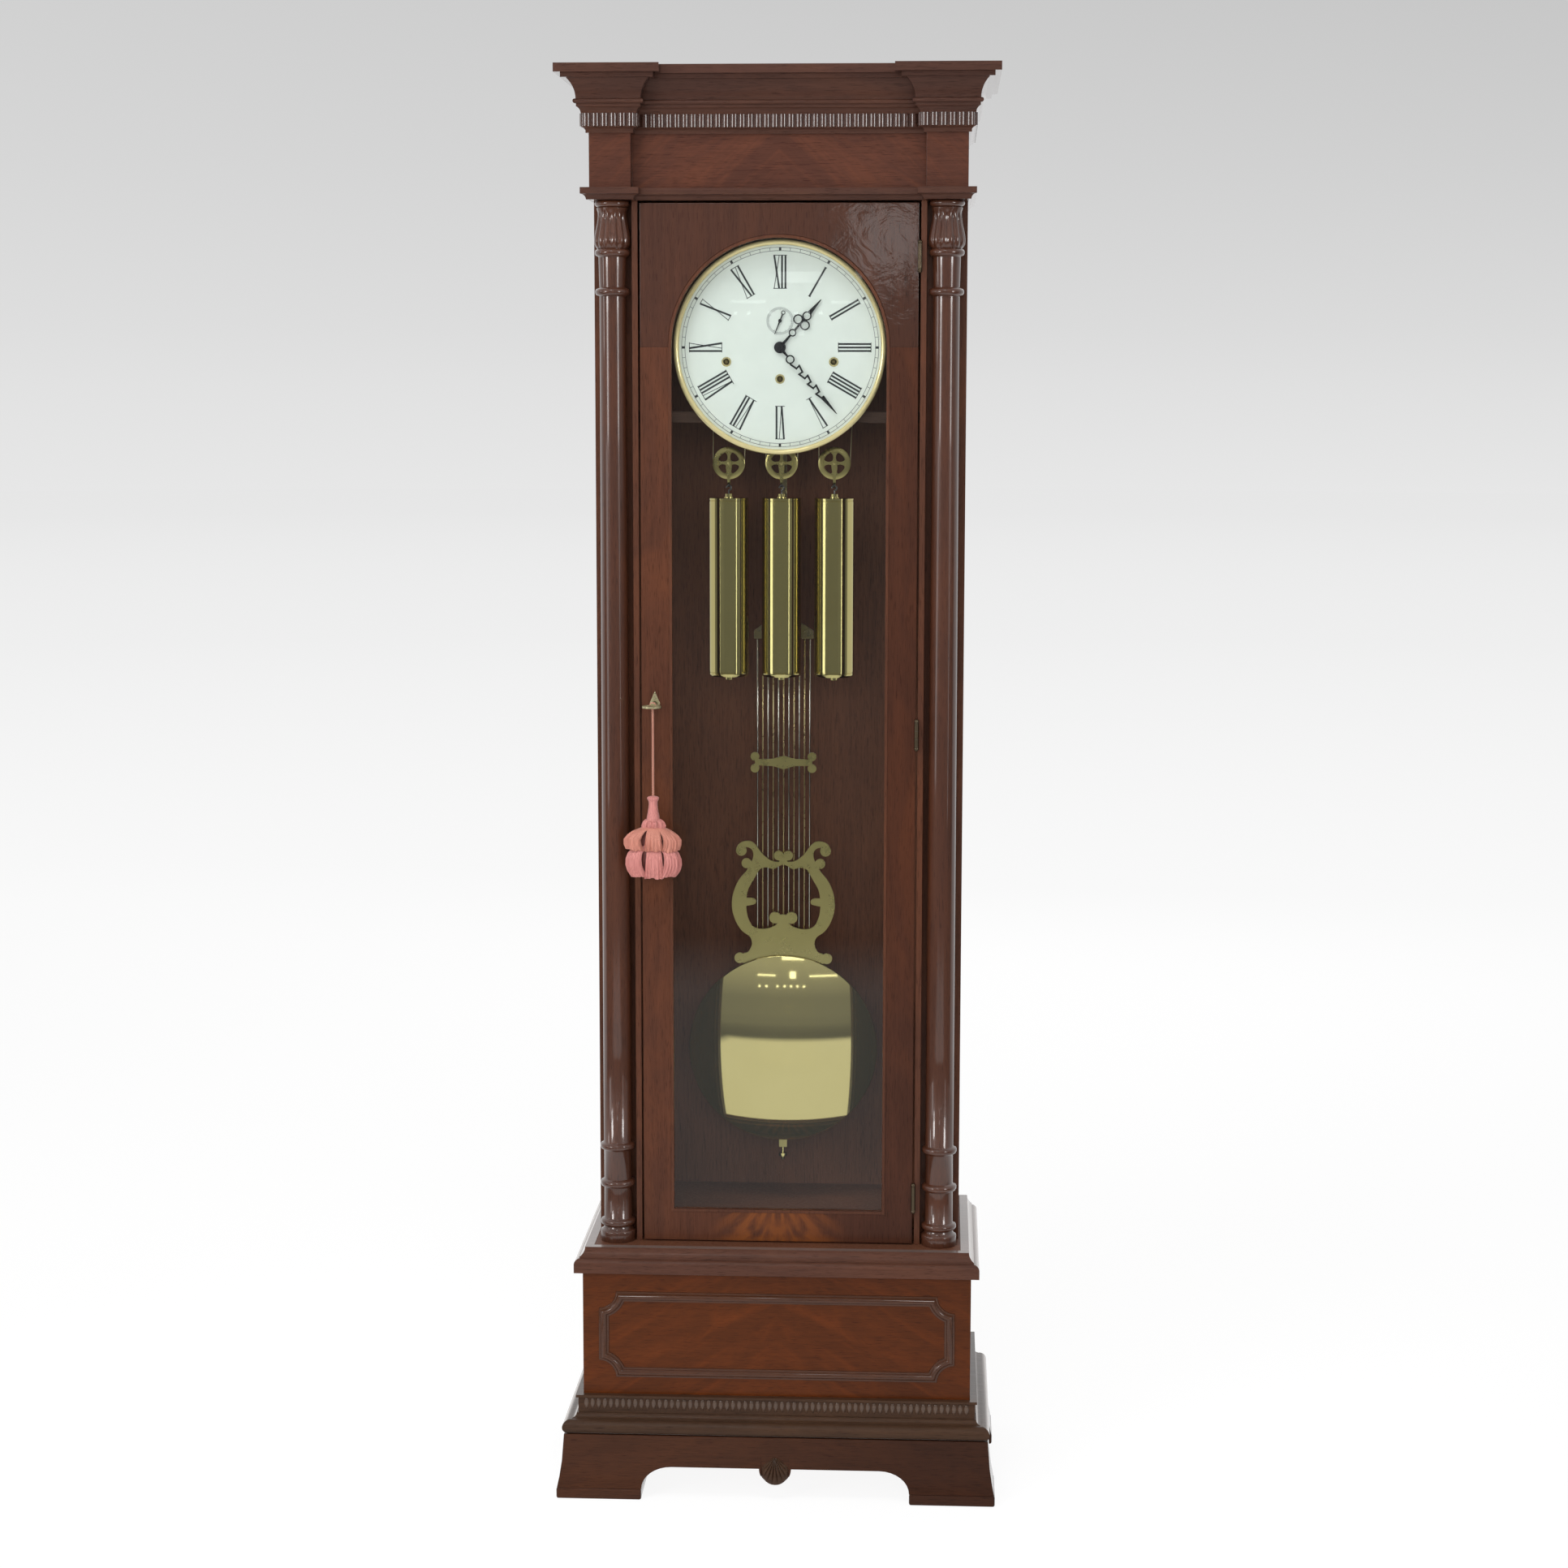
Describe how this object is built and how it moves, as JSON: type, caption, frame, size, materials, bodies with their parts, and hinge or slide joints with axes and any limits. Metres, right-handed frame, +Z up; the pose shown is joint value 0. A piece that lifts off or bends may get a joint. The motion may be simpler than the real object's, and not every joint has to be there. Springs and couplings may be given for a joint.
{
  "type": "longcase clock",
  "caption": "Tall mahogany longcase clock with a glazed arched door, turned columns, Roman dial, brass weights and a lyre pendulum.",
  "frame": {"origin": "on the floor, under the middle of the case's overall width and depth", "axes": "+Z up, -Y towards the front of the clock, +X to the viewer's right"},
  "size_m": [0.657, 0.363, 2.108],
  "materials": {
    "mahogany": "polished dark red-brown mahogany",
    "mahogany_figured": "polished flame mahogany veneer",
    "mahogany_turned": "glossy turned mahogany",
    "case_inside": "dark brown stained boards, satin",
    "polished_brass": "polished and lacquered",
    "movement_brass": "fine brushed",
    "aged_brass": "satin, slightly tarnished",
    "cable_brass": "stranded cable",
    "bright_steel": "bright",
    "rods_metal": "alternating bright steel and pale brass rods",
    "chime_steel": "drawn steel rods on a dark cast block",
    "dial_enamel": "satin white with black Roman numerals",
    "hand_black": "black, semi-gloss",
    "clear_glass": "clear, polished",
    "tassel_pink": "twisted rayon threads, silky",
    "cord_pink": "twisted cord, silky"
  },
  "bodies": {
    "case": {"foot_pads": "mahogany", "bracket_aprons": "mahogany_figured", "apron_shell": "mahogany", "base_moulding": "mahogany", "base_panels": "mahogany_figured", "panel_moulding": "mahogany", "waist_moulding": "mahogany", "carcass_boards": "case_inside", "trunk_sides": "mahogany", "turned_columns": "mahogany_turned", "backboard": "case_inside", "frieze": "mahogany_figured", "architrave": "mahogany", "cornice_moulding": "mahogany", "reeded_band": "mahogany", "seat_rails": "case_inside", "chime_rods": "chime_steel", "case_hinges": "aged_brass", "movement_plates": "movement_brass", "dial": "dial_enamel", "bezel": "polished_brass", "dial_glass": "clear_glass", "left_cable": "cable_brass", "centre_cable": "cable_brass", "right_cable": "cable_brass"},
    "hammers": {"chime_hammers": "movement_brass"},
    "door": {"door_stiles": "mahogany_figured", "door_arch_head": "mahogany_figured", "glazing_beads": "mahogany", "door_glass": "clear_glass", "escutcheon": "polished_brass", "lock_case": "movement_brass", "door_hinges": "aged_brass"},
    "key": {"lock_key": "polished_brass"},
    "bolt": {"lock_bolt": "movement_brass"},
    "tassel": {"tassel_cord": "cord_pink", "key_tassel": "tassel_pink"},
    "hour": {"hour_hand": "hand_black", "hour_wheel": "movement_brass"},
    "minute": {"minute_hand": "hand_black"},
    "motion": {"minute_wheel": "movement_brass"},
    "seconds": {"seconds_hand": "hand_black", "escape_wheel": "movement_brass"},
    "centre": {"centre_wheel": "movement_brass"},
    "verge": {"verge": "bright_steel"},
    "left_drum": {"left_drum": "movement_brass"},
    "centre_drum": {"centre_drum": "movement_brass"},
    "right_drum": {"right_drum": "movement_brass"},
    "left_weight": {"left_weight": "polished_brass"},
    "centre_weight": {"centre_weight": "polished_brass"},
    "right_weight": {"right_weight": "polished_brass"},
    "left_pulley": {"left_pulley": "aged_brass"},
    "centre_pulley": {"centre_pulley": "aged_brass"},
    "right_pulley": {"right_pulley": "aged_brass"},
    "pendulum": {"suspension_spring": "bright_steel", "pendulum_hanger": "aged_brass", "pendulum_rods": "rods_metal", "pendulum_lyre": "aged_brass", "pendulum_bob": "polished_brass", "rating_nut": "polished_brass"}
  },
  "joints": [
    {"name": "door_hinge", "type": "hinge", "parent": "case", "child": "door", "pos_m": [0.203, -0.1059, 1.14875], "axis": [0, 0, 1], "range_deg": [0, 110]},
    {"name": "key_turn", "type": "hinge", "parent": "door", "child": "key", "pos_m": [-0.182, -0.1045, 1.193], "axis": [0, 1, 0], "range_deg": [0, 90]},
    {"name": "bolt_slide", "type": "slide", "parent": "door", "child": "bolt", "axis": [-1, 0, 0], "range_m": [0, 0.01]},
    {"name": "tassel_swing", "type": "hinge", "parent": "door", "child": "tassel", "pos_m": [-0.182, -0.1365, 1.193], "axis": [0, 1, 0], "range_deg": [-9, 9]},
    {"name": "minute_turn", "type": "hinge", "parent": "case", "child": "minute", "pos_m": [0, -0.0685, 1.7117], "axis": [0, 1, 0], "continuous": true},
    {"name": "hour_turn", "type": "hinge", "parent": "case", "child": "hour", "pos_m": [0, -0.0685, 1.7117], "axis": [0, 1, 0], "continuous": true},
    {"name": "motion_turn", "type": "hinge", "parent": "case", "child": "motion", "pos_m": [0.0256, -0.0545, 1.7117], "axis": [0, 1, 0], "continuous": true},
    {"name": "centre_turn", "type": "hinge", "parent": "case", "child": "centre", "pos_m": [0, -0.0465, 1.7117], "axis": [0, 1, 0], "continuous": true},
    {"name": "seconds_turn", "type": "hinge", "parent": "case", "child": "seconds", "pos_m": [0, -0.0245, 1.7501], "axis": [0, 1, 0], "continuous": true},
    {"name": "verge_rock", "type": "hinge", "parent": "case", "child": "verge", "pos_m": [0, -0.0235, 1.7821], "axis": [0, 1, 0], "range_deg": [-3, 3]},
    {"name": "pendulum_swing", "type": "hinge", "parent": "case", "child": "pendulum", "pos_m": [0, 0.0455, 1.7821], "axis": [0, 1, 0], "range_deg": [-3, 3]},
    {"name": "hammer_lift", "type": "hinge", "parent": "case", "child": "hammers", "pos_m": [0, 0.0815, 1.7601], "axis": [-1, 0, 0], "range_deg": [0, 12]},
    {"name": "left_weight_drop", "type": "slide", "parent": "case", "child": "left_weight", "axis": [0, 0, -1], "range_m": [0, 0.75], "deforming": ["left_cable"]},
    {"name": "left_drum_turn", "type": "hinge", "parent": "case", "child": "left_drum", "pos_m": [-0.0783, -0.0205, 1.6909], "axis": [0, 1, 0], "continuous": true},
    {"name": "left_pulley_turn", "type": "hinge", "parent": "left_weight", "child": "left_pulley", "pos_m": [-0.0783, -0.0205, 1.543], "axis": [0, 1, 0], "continuous": true},
    {"name": "centre_weight_drop", "type": "slide", "parent": "case", "child": "centre_weight", "axis": [0, 0, -1], "range_m": [0, 0.75], "deforming": ["centre_cable"]},
    {"name": "centre_drum_turn", "type": "hinge", "parent": "case", "child": "centre_drum", "pos_m": [0, -0.0205, 1.6662], "axis": [0, 1, 0], "continuous": true},
    {"name": "centre_pulley_turn", "type": "hinge", "parent": "centre_weight", "child": "centre_pulley", "pos_m": [0, -0.0205, 1.543], "axis": [0, 1, 0], "continuous": true},
    {"name": "right_weight_drop", "type": "slide", "parent": "case", "child": "right_weight", "axis": [0, 0, -1], "range_m": [0, 0.75], "deforming": ["right_cable"]},
    {"name": "right_drum_turn", "type": "hinge", "parent": "case", "child": "right_drum", "pos_m": [0.0783, -0.0205, 1.6909], "axis": [0, 1, 0], "continuous": true},
    {"name": "right_pulley_turn", "type": "hinge", "parent": "right_weight", "child": "right_pulley", "pos_m": [0.0783, -0.0205, 1.543], "axis": [0, 1, 0], "continuous": true}
  ],
  "couplings": [
    {"joint": "seconds_turn", "follows": "minute_turn", "ratio": 60},
    {"joint": "hour_turn", "follows": "minute_turn", "ratio": 0.083333},
    {"joint": "motion_turn", "follows": "minute_turn", "ratio": -0.33333},
    {"joint": "centre_turn", "follows": "minute_turn", "ratio": 1},
    {"joint": "verge_rock", "follows": "pendulum_swing", "ratio": 1},
    {"joint": "bolt_slide", "follows": "key_turn", "m_per_rad": 0.0063662},
    {"joint": "left_drum_turn", "follows": "left_weight_drop", "rad_per_m": -86.768},
    {"joint": "left_pulley_turn", "follows": "left_weight_drop", "rad_per_m": -43.384},
    {"joint": "centre_drum_turn", "follows": "centre_weight_drop", "rad_per_m": -86.768},
    {"joint": "centre_pulley_turn", "follows": "centre_weight_drop", "rad_per_m": -43.384},
    {"joint": "right_drum_turn", "follows": "right_weight_drop", "rad_per_m": -86.768},
    {"joint": "right_pulley_turn", "follows": "right_weight_drop", "rad_per_m": -43.384}
  ]
}
